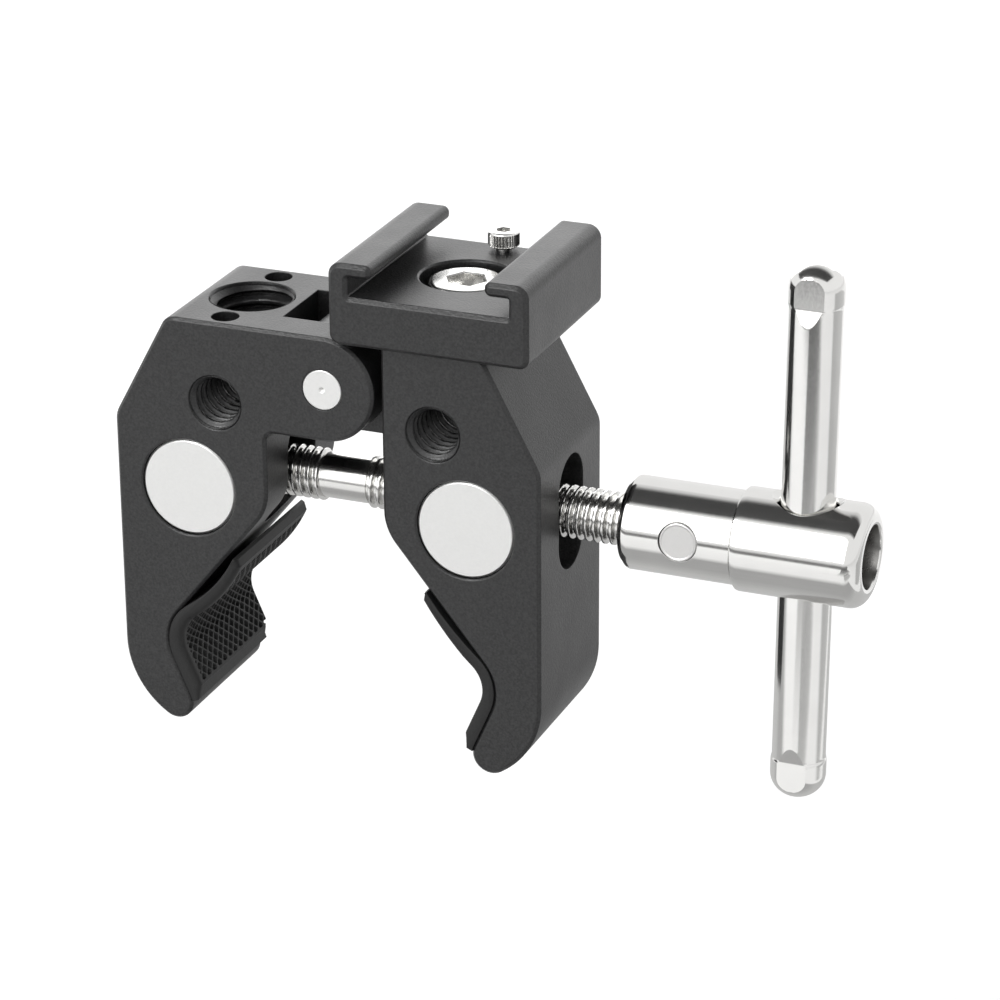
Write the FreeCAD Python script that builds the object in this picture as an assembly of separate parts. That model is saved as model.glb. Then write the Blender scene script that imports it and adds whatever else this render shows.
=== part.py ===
import FreeCAD, Part
import math
import os

from FreeCAD import Vector

# A double-jaw screw clamp with a cold shoe. Two jaws hang from one hinge pin and carry rubber pads.
# A left-and-right-hand screw runs through a barrel nut in each jaw and draws the jaws together.
# A hub pinned to the screw's end carries a sliding cross bar as its handle.
# All sizes are in millimetres. +X runs along the screw to the handle, +Y across the jaws, +Z up.
# The origin is the centre of a tube gripped between the pads.
# The pieces are drawn with Z from the screw's axis and X from the hinge, then lifted into place.

# Place of the screw's axis above the centre of a gripped tube
SCREW_HEIGHT = 19.0

# Jaw outline
JAW_THICKNESS = 18.8
JAW_INNER_REACH = 7.1
JAW_OUTER_REACH = 25.8
JAW_TOP_REACH = 19.0
JAW_TOP_ROUND = 1.8
JAW_SLOPE_FOOT = 7.8
JAW_SLOPE_ROUND = 3.0
JAW_SIDE_FOOT = -20.2
JAW_BACK_RADIUS = 10.5
JAW_TIP_RADIUS = 2.2
JAW_LEG_ROUND = 6.0
JAW_EDGE = 0.35
EAR_UNDER_ROUND = 1.0

# Grip corner of a jaw: the wall behind it, its depth, its legs' slants in degrees and its round
GRIP_WALL = 4.72
GRIP_DROP = 18.54
LOWER_LEG_SLANT = 23.4
UPPER_LEG_SLANT = 39.1
GRIP_ROUND = 5.5

# Hinge
HINGE_HEIGHT = 14.2
EAR_RADIUS = 6.15
TONGUE_THICKNESS = 9.2
TONGUE_SIDE_CLEARANCE = 0.1
FORK_ROOT_CLEARANCE = 0.55
HINGE_PIN_RADIUS = 2.4
HINGE_PIN_CLEARANCE = 0.05
HINGE_PIN_EDGE = 0.15
PUNCH_RADIUS = 0.35

# Barrel nuts
NUT_SHIFT = 0.45
NUT_RADIUS = 5.75
NUT_CLEARANCE = 0.08
NUT_RECESS = 0.2
NUT_EDGE = 0.25
BORE_EDGE = 0.15

# Screw and the slots that let it tilt in the jaws
SCREW_RADIUS = 3.0
SCREW_CLEARANCE = 0.05
SCREW_TIP_STAND = 1.1
SCREW_TIP_EDGE = 0.6
NECK_RADIUS = 2.6
NECK_START = -3.4
NECK_END = 1.4
SLOT_SIDE_CLEARANCE = 0.75
SLOT_HALF_HEIGHT = 6.8
STOP_RING_RADIUS = 3.5
STOP_RING_WIDTH = 0.7
STOP_GROOVE_DEPTH = 0.6
STOP_GROOVE_PLAY = 0.05
STOP_RING_INSET = 1.6

# Threaded holes in the jaws
SIDE_HOLE_REACH = 13.2
SIDE_HOLE_HEIGHT = 10.8
SIDE_HOLE_RADIUS = 3.175
SIDE_HOLE_RIM = 0.16
TOP_HOLE_REACH = 12.7
TOP_HOLE_RADIUS = 4.76
TOP_HOLE_RIM = 0.25
TOP_HOLE_DEPTH = 6.0
LOCATING_HOLE_RADIUS = 1.6
LOCATING_HOLE_OFFSET = 7.0
LOCATING_HOLE_DEPTH = 3.5

# Rubber pads
PAD_THICKNESS = 1.65
PAD_END_BEVEL = 0.7
PAD_WRAP_ANGLE = 31.0
PAD_WRAP_HEIGHT = 0.35
RIGHT_PAD_LIFT_TURN = 4.0
RIGHT_PAD_RUN = 3.2
RIGHT_PAD_BOW_RADIUS = 40.0
RIGHT_PAD_BOW_TURN = 8.0
LEFT_PAD_LIFT_TURN = 16.0
LEFT_PAD_RUN = 2.9
LEFT_PAD_BOW_RADIUS = 9.5
LEFT_PAD_BOW_TURN = 32.0

# Cold shoe
SHOE_REACH = 13.5
SHOE_WALL = 2.275
SHOE_DEPTH = 22.6
SHOE_FLOOR = 5.65
SHOE_SLOT_WIDTH = 18.8
SHOE_SLOT_HEIGHT = 2.2
SHOE_LIP_THICKNESS = 1.6
SHOE_LIP_OVERHANG = 2.8
SHOE_TOP_ROUND = 1.5
SHOE_FOOT_ROUND = 1.2
SHOE_LIP_ROUND = 0.7
SHOE_INNER_ROUND = 0.25
SHOE_EDGE = 0.45
SHOE_CLEARANCE = 0.2

# Screw that holds the shoe, with its pocket
SHOE_SCREW_RADIUS = 2.5
SHOE_SCREW_HEAD_RADIUS = 4.25
SHOE_SCREW_HEAD_HEIGHT = 3.5
SHOE_SCREW_HEAD_EDGE = 0.4
SHOE_SCREW_LENGTH = 7.8
SHOE_SCREW_HEX = 4.0
SHOE_SCREW_HEX_DEPTH = 2.0
SHOE_SCREW_SINK = 0.35
POCKET_CLEARANCE = 0.95
POCKET_EDGE = 0.2
THREAD_END_GAP = 0.2

# Stop screw at the back of the shoe
STOP_SCREW_FROM_BACK = 1.6
STOP_SCREW_HEAD_RADIUS = 1.8
STOP_SCREW_HEAD_HEIGHT = 1.9
STOP_SCREW_STAND = 0.4
STOP_SCREW_RADIUS = 0.95
STOP_SCREW_LENGTH = 4.0
STOP_SCREW_HEX = 1.5
STOP_SCREW_HEX_DEPTH = 1.0
STOP_SCREW_SHIFT = 0.5

# Handle hub
HUB_START = 33.0
HUB_NECK_LENGTH = 13.1
HUB_BODY_LENGTH = 14.6
HUB_NECK_RADIUS = 5.65
HUB_BODY_RADIUS = 6.2
HUB_START_EDGE = 0.7
HUB_STEP_EDGE = 0.3
HUB_END_ROUND = 1.8
HUB_SCREW_DEPTH = 12.0
HUB_END_BORE_RADIUS = 3.55
HUB_END_BORE_DEPTH = 3.2
HUB_END_BORE_EDGE = 0.3

# Pin that fixes the hub on the screw
CROSS_PIN_REACH = 40.2
CROSS_PIN_TURN = 6.0
CROSS_PIN_RADIUS = 1.5
CROSS_PIN_HEAD_RADIUS = 2.2
CROSS_PIN_HEAD_THICKNESS = 0.9
CROSS_PIN_SINK = 0.15
CROSS_PIN_HEAD_GAP = 0.05

# Sliding cross bar
BAR_REACH = 53.3
BAR_RADIUS = 3.0
BAR_CLEARANCE = 0.1
BAR_LENGTH = 62.9
BAR_SHIFT = 1.2
BAR_LEAN = 1.65
BAR_MOUTH_EDGE = 1.05
BAR_END_ROUND = 2.6
BAR_END_STEPS = 3
BAR_FLAT_REACH = 5.0
BAR_FLAT_DEPTH = 0.45
BAR_FLAT_RUNOUT = 1.5
BAR_SWAGE = 0.12
BAR_SWAGE_LENGTH = 1.6

HALF = JAW_THICKNESS / 2.0
GRIP_REACH = JAW_OUTER_REACH - GRIP_WALL
NUT_REACH = (JAW_INNER_REACH + JAW_OUTER_REACH) / 2.0 + NUT_SHIFT
SCREW_TIP_REACH = JAW_OUTER_REACH + SCREW_TIP_STAND
STOP_RING_REACH = SCREW_TIP_REACH - STOP_RING_INSET
LEFT_TOP = HINGE_HEIGHT + EAR_RADIUS
RIGHT_TOP = LEFT_TOP + SHOE_CLEARANCE
SLOT_RADIUS = SCREW_RADIUS + SLOT_SIDE_CLEARANCE
PIN_HOLE_RADIUS = HINGE_PIN_RADIUS + HINGE_PIN_CLEARANCE
NUT_HOLE_RADIUS = NUT_RADIUS + NUT_CLEARANCE
THREAD_HOLE_RADIUS = SCREW_RADIUS + SCREW_CLEARANCE
STOP_GROOVE_RADIUS = SCREW_RADIUS - STOP_GROOVE_DEPTH
HUB_STEP = HUB_START + HUB_NECK_LENGTH
HUB_END = HUB_STEP + HUB_BODY_LENGTH
BAR_HOLE_RADIUS = BAR_RADIUS + BAR_CLEARANCE
SHOE_FLOOR_TOP = RIGHT_TOP + SHOE_FLOOR
SHOE_SCREW_HEAD_TOP = SHOE_FLOOR_TOP - SHOE_SCREW_SINK
SHOE_SCREW_HEAD_FOOT = SHOE_SCREW_HEAD_TOP - SHOE_SCREW_HEAD_HEIGHT
STOP_SCREW_REACH = SHOE_REACH + STOP_SCREW_SHIFT
STOP_SCREW_BACK = SHOE_DEPTH / 2.0 - STOP_SCREW_FROM_BACK
ALONG_X = Vector(1.0, 0.0, 0.0)
ALONG_Y = Vector(0.0, 1.0, 0.0)
ALONG_Z = Vector(0.0, 0.0, 1.0)
MARGIN = 1.0


def flat(a, b):
    """A point of an outline, which lies in the XZ plane."""
    return Vector(a, 0.0, b)


def turned_by(vector, degrees):
    """A vector in the XZ plane turned anticlockwise as seen with +X right and +Z up."""
    angle = math.radians(degrees)
    across = vector.x * math.cos(angle) - vector.z * math.sin(angle)
    up = vector.x * math.sin(angle) + vector.z * math.cos(angle)
    return flat(across, up)


def corner_arc(before, corner, after, radius):
    """Start, middle and end of the arc that rounds one corner."""
    back = (before - corner).normalize()
    ahead = (after - corner).normalize()
    half = back.getAngle(ahead) / 2.0
    run = radius / math.tan(half)
    middle = corner + (back + ahead).normalize() * (radius / math.sin(half) - radius)
    return corner + back * run, middle, corner + ahead * run


def path_edges(corners):
    """Edges of an open path. Each corner is a place and its radius, 0 for a sharp one."""
    edges = []
    last = corners[0][0]
    for before, (corner, radius), after in zip(corners, corners[1:], corners[2:]):
        if radius > 0.0:
            start, middle, end = corner_arc(before[0], corner, after[0], radius)
            edges.append(Part.makeLine(last, start))
            edges.append(Part.Arc(start, middle, end).toShape())
            last = end
        else:
            edges.append(Part.makeLine(last, corner))
            last = corner
    edges.append(Part.makeLine(last, corners[-1][0]))
    return edges


def closed_face(corners):
    """Face inside a closed path of rounded corners."""
    join = (corners[0][0] + corners[-1][0]) * 0.5
    edges = path_edges([(join, 0.0)] + corners + [(join, 0.0)])
    return Part.Face(Part.Wire(edges))


def plate(face, thickness):
    """An outline in the XZ plane made into a plate centred on Y = 0."""
    solid = face.extrude(ALONG_Y * thickness)
    solid.translate(ALONG_Y * (-thickness / 2.0))
    return solid


def turned(corners, base, direction):
    """A turned piece. Each corner is a distance along the axis, a radius and a rounding."""
    first = corners[0][0]
    last = corners[-1][0]
    path = [(flat(along, radius), rounding) for along, radius, rounding in corners]
    edges = [Part.makeLine(flat(first, 0.0), path[0][0])]
    edges += path_edges(path)
    edges.append(Part.makeLine(path[-1][0], flat(last, 0.0)))
    edges.append(Part.makeLine(flat(last, 0.0), flat(first, 0.0)))
    solid = Part.Face(Part.Wire(edges)).revolve(Vector(0, 0, 0), ALONG_X, 360.0)
    solid.Placement = FreeCAD.Placement(base, FreeCAD.Rotation(ALONG_X, direction))
    return solid


def rod(radius, start, end, direction):
    """A cylinder between two points at distances start and end along a line through the axis."""
    return Part.makeCylinder(radius, end - start, direction * start, direction)


def block(low_x, high_x, low_y, high_y, low_z, high_z):
    """A box between its limits."""
    return Part.makeBox(high_x - low_x, high_y - low_y, high_z - low_z, Vector(low_x, low_y, low_z))


def hole(mouth, direction, radius, depth, rim):
    """A round hole from its mouth inward, with a 45 degree rim."""
    inward = direction * -1.0
    straight = Part.makeCylinder(radius, depth + MARGIN, mouth + direction * MARGIN, inward)
    cone = Part.makeCone(radius + rim + MARGIN, radius, rim + MARGIN, mouth + direction * MARGIN, inward)
    return straight.fuse(cone)


def through_hole_y(reach, height, radius, rim):
    """A round hole right through a jaw along Y, with a rim at both faces."""
    front = hole(Vector(reach, -HALF, height), ALONG_Y * -1.0, radius, HALF, rim)
    back = hole(Vector(reach, HALF, height), ALONG_Y, radius, HALF, rim)
    return front.fuse(back)


def face_edges(solid, half_depth):
    """The edges that lie in a piece's front and back faces."""
    picked = []
    for edge in solid.Edges:
        places = [vertex.Point.y for vertex in edge.Vertexes] + [edge.CenterOfMass.y]
        if all(abs(abs(place) - half_depth) < 1e-4 for place in places):
            picked.append(edge)
    return picked


def mirrored(solid):
    """The same piece on the other side of the hinge."""
    return solid.mirror(Vector(0, 0, 0), ALONG_X)


def hexagon(across_flats, depth, top):
    """A hexagon socket sunk from a top point."""
    corner = across_flats / math.sqrt(3.0)
    points = []
    for i in range(7):
        angle = math.radians(60.0 * i)
        points.append(top + Vector(corner * math.cos(angle), corner * math.sin(angle), 0.0))
    socket = Part.Face(Part.makePolygon(points)).extrude(ALONG_Z * (depth + MARGIN))
    socket.translate(ALONG_Z * -depth)
    return socket


# Directions and key places of the jaw outline

GRIP_CORNER = flat(GRIP_REACH, -GRIP_DROP)
LOWER_LEG = turned_by(flat(0.0, -1.0), -LOWER_LEG_SLANT)
UPPER_LEG = turned_by(flat(0.0, 1.0), UPPER_LEG_SLANT)
LOWER_LEG_INWARD = turned_by(LOWER_LEG, 90.0)


def leg_top():
    """Where the upper leg's line meets the inner wall."""
    run = (GRIP_REACH - JAW_INNER_REACH) / -UPPER_LEG.x
    return GRIP_CORNER + UPPER_LEG * run


def tip_centre():
    """Centre of the jaw tip's arc, tangent to the lower leg and to the back arc."""
    back_centre = flat(JAW_OUTER_REACH - JAW_BACK_RADIUS, JAW_SIDE_FOOT)
    start = GRIP_CORNER + LOWER_LEG_INWARD * JAW_TIP_RADIUS
    offset = start - back_centre
    along = offset.dot(LOWER_LEG)
    gap = JAW_BACK_RADIUS - JAW_TIP_RADIUS
    run = -along + math.sqrt(along * along - offset.dot(offset) + gap * gap)
    return start + LOWER_LEG * run


def outer_edges(top, end):
    """From the back arc's start up the side and over the slope to the end of the top."""
    corners = [
        (flat(JAW_OUTER_REACH, JAW_SIDE_FOOT), 0.0),
        (flat(JAW_OUTER_REACH, JAW_SLOPE_FOOT), JAW_SLOPE_ROUND),
        (flat(JAW_TOP_REACH, top), JAW_TOP_ROUND),
        (flat(end, top), 0.0),
    ]
    return path_edges(corners)


def tip_edges():
    """Round the tip, from the lower leg's end to the back arc's start."""
    centre = tip_centre()
    back_centre = flat(JAW_OUTER_REACH - JAW_BACK_RADIUS, JAW_SIDE_FOOT)
    leg_end = centre - LOWER_LEG_INWARD * JAW_TIP_RADIUS
    outward = (centre - back_centre).normalize()
    meeting = centre + outward * JAW_TIP_RADIUS
    tip_low = centre + (outward - LOWER_LEG_INWARD).normalize() * JAW_TIP_RADIUS
    back_low = back_centre + (outward + flat(1.0, 0.0)).normalize() * JAW_BACK_RADIUS
    side_foot = flat(JAW_OUTER_REACH, JAW_SIDE_FOOT)
    tip = Part.Arc(leg_end, tip_low, meeting).toShape()
    back = Part.Arc(meeting, back_low, side_foot).toShape()
    return [tip, back]


def grip_edges(start, start_round):
    """From the inner wall's top down the wall and both legs to the tip."""
    leg_end = tip_centre() - LOWER_LEG_INWARD * JAW_TIP_RADIUS
    corners = start + [
        (flat(JAW_INNER_REACH, start[-1][0].z), start_round),
        (leg_top(), JAW_LEG_ROUND),
        (GRIP_CORNER, GRIP_ROUND),
        (leg_end, 0.0),
    ]
    return path_edges(corners)


def jaw_bores(solid):
    """The cuts that both jaws share: barrel nut bore, screw slot and side hole."""
    solid = solid.cut(through_hole_y(NUT_REACH, 0.0, NUT_HOLE_RADIUS, BORE_EDGE))
    low = JAW_INNER_REACH - MARGIN
    high = JAW_OUTER_REACH + MARGIN
    run = SLOT_HALF_HEIGHT - SLOT_RADIUS
    slot = block(low, high, -SLOT_RADIUS, SLOT_RADIUS, -run, run)
    for height in (-run, run):
        slot = slot.fuse(Part.makeCylinder(SLOT_RADIUS, high - low, Vector(low, 0.0, height), ALONG_X))
    solid = solid.cut(slot)
    return solid.cut(through_hole_y(SIDE_HOLE_REACH, SIDE_HOLE_HEIGHT, SIDE_HOLE_RADIUS, SIDE_HOLE_RIM))


def left_jaw():
    """The forked jaw, drawn on the +X side and mirrored at the end."""
    ear_foot = flat(0.0, HINGE_HEIGHT - EAR_RADIUS)
    ear_top = flat(0.0, LEFT_TOP)
    ear = Part.Arc(ear_top, flat(-EAR_RADIUS, HINGE_HEIGHT), ear_foot).toShape()
    edges = outer_edges(LEFT_TOP, 0.0) + [ear]
    edges += grip_edges([(ear_foot, 0.0)], EAR_UNDER_ROUND) + tip_edges()
    jaw = plate(Part.Face(Part.Wire(edges)), JAW_THICKNESS)
    jaw = jaw.makeChamfer(JAW_EDGE, face_edges(jaw, HALF))
    fork_half = TONGUE_THICKNESS / 2.0 + TONGUE_SIDE_CLEARANCE
    fork_root = EAR_RADIUS + FORK_ROOT_CLEARANCE
    fork_foot = HINGE_HEIGHT - EAR_RADIUS - MARGIN
    jaw = jaw.cut(
        block(-EAR_RADIUS - MARGIN, fork_root, -fork_half, fork_half, fork_foot, LEFT_TOP + MARGIN)
    )
    jaw = jaw.cut(through_hole_y(0.0, HINGE_HEIGHT, HINGE_PIN_RADIUS, 0.0))
    jaw = jaw_bores(jaw)
    top = Vector(TOP_HOLE_REACH, 0.0, LEFT_TOP)
    jaw = jaw.cut(hole(top, ALONG_Z, TOP_HOLE_RADIUS, TOP_HOLE_DEPTH, TOP_HOLE_RIM))
    for side in (-1.0, 1.0):
        place = top + ALONG_Y * (side * LOCATING_HOLE_OFFSET)
        jaw = jaw.cut(hole(place, ALONG_Z, LOCATING_HOLE_RADIUS, LOCATING_HOLE_DEPTH, 0.0))
    return mirrored(jaw)


def right_jaw():
    """The tongued jaw, whose flat top carries the shoe."""
    start = [(flat(JAW_INNER_REACH, RIGHT_TOP), 0.0)]
    leg_end = tip_centre() - LOWER_LEG_INWARD * JAW_TIP_RADIUS
    corners = start + [(leg_top(), JAW_LEG_ROUND), (GRIP_CORNER, GRIP_ROUND), (leg_end, 0.0)]
    edges = outer_edges(RIGHT_TOP, JAW_INNER_REACH) + path_edges(corners) + tip_edges()
    jaw = plate(Part.Face(Part.Wire(edges)), JAW_THICKNESS)
    jaw = jaw.makeChamfer(JAW_EDGE, face_edges(jaw, HALF))
    root = JAW_INNER_REACH + MARGIN
    tongue = block(0.0, root, -TONGUE_THICKNESS / 2.0, TONGUE_THICKNESS / 2.0,
                   HINGE_HEIGHT - EAR_RADIUS, LEFT_TOP)
    eye = rod(EAR_RADIUS, -TONGUE_THICKNESS / 2.0, TONGUE_THICKNESS / 2.0, ALONG_Y)
    eye.translate(ALONG_Z * HINGE_HEIGHT)
    jaw = jaw.fuse(tongue).fuse(eye).removeSplitter()
    jaw = jaw.cut(through_hole_y(0.0, HINGE_HEIGHT, PIN_HOLE_RADIUS, 0.0))
    jaw = jaw_bores(jaw)
    tip = SHOE_SCREW_HEAD_FOOT - SHOE_SCREW_LENGTH - THREAD_END_GAP
    place = Vector(SHOE_REACH, 0.0, RIGHT_TOP)
    return jaw.cut(hole(place, ALONG_Z, SHOE_SCREW_RADIUS, RIGHT_TOP - tip, 0.0))


def hinge_pin():
    """The pin pressed into the left jaw's ears, punched at both ends."""
    corners = [
        (-HALF, HINGE_PIN_RADIUS - HINGE_PIN_EDGE, 0.0),
        (-HALF + HINGE_PIN_EDGE, HINGE_PIN_RADIUS, 0.0),
        (HALF - HINGE_PIN_EDGE, HINGE_PIN_RADIUS, 0.0),
        (HALF, HINGE_PIN_RADIUS - HINGE_PIN_EDGE, 0.0),
    ]
    pin = turned(corners, Vector(0.0, 0.0, HINGE_HEIGHT), ALONG_Y)
    for side in (-1.0, 1.0):
        mouth = Vector(0.0, side * HALF, HINGE_HEIGHT)
        mark = Part.makeCone(PUNCH_RADIUS, 0.0, PUNCH_RADIUS, mouth, ALONG_Y * -side)
        pin = pin.cut(mark)
    return pin


def barrel_nut(side):
    """A cross nut in one jaw: side is -1 for the left one and 1 for the right one."""
    end = HALF - NUT_RECESS
    corners = [
        (-end, NUT_RADIUS - NUT_EDGE, 0.0),
        (-end + NUT_EDGE, NUT_RADIUS, 0.0),
        (end - NUT_EDGE, NUT_RADIUS, 0.0),
        (end, NUT_RADIUS - NUT_EDGE, 0.0),
    ]
    nut = turned(corners, Vector(side * NUT_REACH, 0.0, 0.0), ALONG_Y)
    reach = NUT_RADIUS + MARGIN
    thread = rod(THREAD_HOLE_RADIUS, side * NUT_REACH - reach, side * NUT_REACH + reach, ALONG_X)
    return nut.cut(thread)


def strip_walk(start, heading, moves):
    """Stations along a strip's back: each move is a run, a turn in degrees and a radius."""
    stations = [(start, heading)]
    edges = []
    for run, turn, radius in moves:
        if turn == 0.0:
            end = start + heading * run
            edges.append([(start, heading), (end, heading)])
            start = end
        else:
            centre = start + turned_by(heading, math.copysign(90.0, turn)) * radius
            spoke = start - centre
            middle = (centre + turned_by(spoke, turn / 2.0), turned_by(heading, turn / 2.0))
            end = (centre + turned_by(spoke, turn), turned_by(heading, turn))
            edges.append([(start, heading), middle, end])
            start, heading = end
        stations.append((start, heading))
    return stations, edges


def strip_edge(stations, offset):
    """One straight or round edge of a strip, at an offset to the left of its walk."""
    points = [place + turned_by(heading, 90.0) * offset for place, heading in stations]
    if len(points) == 2:
        return Part.makeLine(points[0], points[1])
    return Part.Arc(points[0], points[1], points[2]).toShape()


def pad(lift_turn, run, bow_radius, bow_turn):
    """A rubber strip that follows the grip corner and lifts off the upper leg in a bow."""
    centre = tip_centre()
    leg_end = centre - LOWER_LEG_INWARD * JAW_TIP_RADIUS
    upward = LOWER_LEG * -1.0
    corner_turn = 180.0 - math.degrees(LOWER_LEG.getAngle(UPPER_LEG))
    tangent = GRIP_ROUND * math.tan(math.radians(corner_turn / 2.0))
    leg_run = (GRIP_CORNER - leg_end).Length - tangent
    moves = [
        (leg_run, 0.0, 0.0),
        (0.0, corner_turn + lift_turn, GRIP_ROUND),
        (run, 0.0, 0.0),
        (0.0, -bow_turn, bow_radius),
        (PAD_END_BEVEL, 0.0, 0.0),
    ]
    stations, walked = strip_walk(leg_end, upward, moves)
    end, heading = stations[-1]
    back = [strip_edge(edge, 0.0) for edge in walked]
    front = [strip_edge(edge, PAD_THICKNESS) for edge in walked[:-1]]
    left = turned_by(heading, 90.0)
    bevel_foot = stations[-2][0] + left * PAD_THICKNESS
    bevel_top = end + left * (PAD_THICKNESS - PAD_END_BEVEL)
    lip = leg_end + turned_by(upward, 90.0) * PAD_THICKNESS
    spoke = leg_end - centre
    wrap_end = centre + turned_by(spoke, PAD_WRAP_ANGLE)
    wrap_middle = centre + turned_by(spoke, PAD_WRAP_ANGLE / 2.0)
    chord = wrap_end - lip
    round_middle = (lip + wrap_end) * 0.5 + turned_by(chord, -90.0).normalize() * PAD_WRAP_HEIGHT
    edges = [Part.Arc(wrap_end, wrap_middle, leg_end).toShape()] + back
    edges.append(Part.makeLine(end, bevel_top))
    edges.append(Part.makeLine(bevel_top, bevel_foot))
    edges += front[::-1]
    edges.append(Part.Arc(lip, round_middle, wrap_end).toShape())
    return plate(Part.Face(Part.Wire(edges)), JAW_THICKNESS)


def clamp_screw():
    """The screw, with a plain neck between its two threads and a groove near its tip."""
    ring_half = STOP_RING_WIDTH / 2.0 + STOP_GROOVE_PLAY
    end = HUB_START + HUB_SCREW_DEPTH
    slope = SCREW_RADIUS - NECK_RADIUS
    corners = [
        (-SCREW_TIP_REACH, SCREW_RADIUS - SCREW_TIP_EDGE, 0.0),
        (-SCREW_TIP_REACH + SCREW_TIP_EDGE, SCREW_RADIUS, 0.0),
        (-STOP_RING_REACH - ring_half, SCREW_RADIUS, 0.0),
        (-STOP_RING_REACH - ring_half, STOP_GROOVE_RADIUS, 0.0),
        (-STOP_RING_REACH + ring_half, STOP_GROOVE_RADIUS, 0.0),
        (-STOP_RING_REACH + ring_half, SCREW_RADIUS, 0.0),
        (NECK_START - slope, SCREW_RADIUS, 0.0),
        (NECK_START, NECK_RADIUS, 0.0),
        (NECK_END, NECK_RADIUS, 0.0),
        (NECK_END + slope, SCREW_RADIUS, 0.0),
        (end, SCREW_RADIUS, 0.0),
    ]
    screw = turned(corners, Vector(0, 0, 0), ALONG_X)
    return screw.cut(cross_pin(0.0, 0.0))


def screw_stop_ring():
    """The ring in the screw's groove that keeps the left nut on the screw."""
    half = STOP_RING_WIDTH / 2.0
    low = -STOP_RING_REACH - half
    high = -STOP_RING_REACH + half
    ring = rod(STOP_RING_RADIUS, low, high, ALONG_X)
    return ring.cut(rod(STOP_GROOVE_RADIUS + SCREW_CLEARANCE, low - MARGIN, high + MARGIN, ALONG_X))


def cross_pin(gap, over):
    """The pin with two flat heads. Its pockets in the hub are wider by gap and taller by over."""
    end = HUB_NECK_RADIUS - CROSS_PIN_SINK
    shoulder = end - CROSS_PIN_HEAD_THICKNESS
    pin = rod(CROSS_PIN_RADIUS, -end, end, ALONG_Y)
    for side in (-1.0, 1.0):
        foot = ALONG_Y * (side * shoulder)
        height = CROSS_PIN_HEAD_THICKNESS + over
        pin = pin.fuse(Part.makeCylinder(CROSS_PIN_HEAD_RADIUS + gap, height, foot, ALONG_Y * side))
    pin.rotate(Vector(0, 0, 0), ALONG_X, -CROSS_PIN_TURN)
    pin.translate(ALONG_X * CROSS_PIN_REACH)
    return pin


def bar_direction():
    """The cross bar's axis, leaning a little towards +Y at its top."""
    lean = math.radians(BAR_LEAN)
    return Vector(0.0, math.sin(lean), math.cos(lean))


def handle_hub():
    """The turned hub: a neck on the screw, a step, and a thicker body bored for the bar."""
    screw_end = HUB_START + HUB_SCREW_DEPTH
    corners = [
        (HUB_START, HUB_NECK_RADIUS - HUB_START_EDGE, 0.0),
        (HUB_START + HUB_START_EDGE, HUB_NECK_RADIUS, 0.0),
        (HUB_STEP, HUB_NECK_RADIUS, 0.0),
        (HUB_STEP, HUB_BODY_RADIUS - HUB_STEP_EDGE, 0.0),
        (HUB_STEP + HUB_STEP_EDGE, HUB_BODY_RADIUS, 0.0),
        (HUB_END, HUB_BODY_RADIUS, HUB_END_ROUND),
        (HUB_END, HUB_END_BORE_RADIUS + HUB_END_BORE_EDGE, 0.0),
        (HUB_END - HUB_END_BORE_EDGE, HUB_END_BORE_RADIUS, 0.0),
        (HUB_END - HUB_END_BORE_DEPTH, HUB_END_BORE_RADIUS, 0.0),
    ]
    hub = turned(corners, Vector(0, 0, 0), ALONG_X)
    hub = hub.cut(rod(SCREW_RADIUS, HUB_START - MARGIN, screw_end, ALONG_X))
    hub = hub.cut(cross_pin(CROSS_PIN_HEAD_GAP, MARGIN))
    centre = Vector(BAR_REACH, 0.0, 0.0)
    lean = bar_direction()
    reach = HUB_BODY_RADIUS + MARGIN
    tunnel = Part.makeCylinder(BAR_HOLE_RADIUS, 2.0 * reach, centre - lean * reach, lean)
    hub = hub.cut(tunnel)
    for side in (-1.0, 1.0):
        mouth = centre + lean * (side * HUB_BODY_RADIUS)
        hub = hub.cut(hole(mouth, lean * side, BAR_HOLE_RADIUS, BAR_MOUTH_EDGE, BAR_MOUTH_EDGE))
    return hub


def t_bar():
    """The sliding bar: its round ends are short cones, and squeezed flats keep it in the hub."""
    half = BAR_LENGTH / 2.0
    wide = BAR_RADIUS + BAR_SWAGE
    swage_start = half - BAR_END_ROUND - BAR_SWAGE_LENGTH
    end = []
    for i in range(BAR_END_STEPS + 1):
        angle = math.radians(90.0 * i / BAR_END_STEPS)
        fall = BAR_END_ROUND * (1.0 - math.cos(angle))
        end.append((half - fall, BAR_RADIUS - BAR_END_ROUND * (1.0 - math.sin(angle)), 0.0))
    corners = [(-along, radius, 0.0) for along, radius, rounding in end] + end[::-1]
    bar = turned(corners, Vector(0, 0, 0), ALONG_Z)
    flat_half = BAR_RADIUS - BAR_FLAT_DEPTH
    flat_start = half - BAR_FLAT_REACH
    for side in (-1.0, 1.0):
        direction = ALONG_Z * side
        swage = Part.makeCylinder(wide, BAR_SWAGE_LENGTH, direction * swage_start, direction)
        for foot, way in ((swage_start, -side), (swage_start + BAR_SWAGE_LENGTH, side)):
            cone = Part.makeCone(wide, BAR_RADIUS - BAR_SWAGE, 2.0 * BAR_SWAGE, direction * foot, ALONG_Z * way)
            swage = swage.fuse(cone)
        bar = bar.fuse(swage)
    for side in (-1.0, 1.0):
        for face in (-1.0, 1.0):
            bar = bar.cut(bar_flat(flat_start, half, flat_half, side, face))
    bar.translate(ALONG_Z * BAR_SHIFT)
    bar.rotate(Vector(0, 0, 0), ALONG_X, -BAR_LEAN)
    bar.translate(ALONG_X * BAR_REACH)
    return bar


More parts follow.
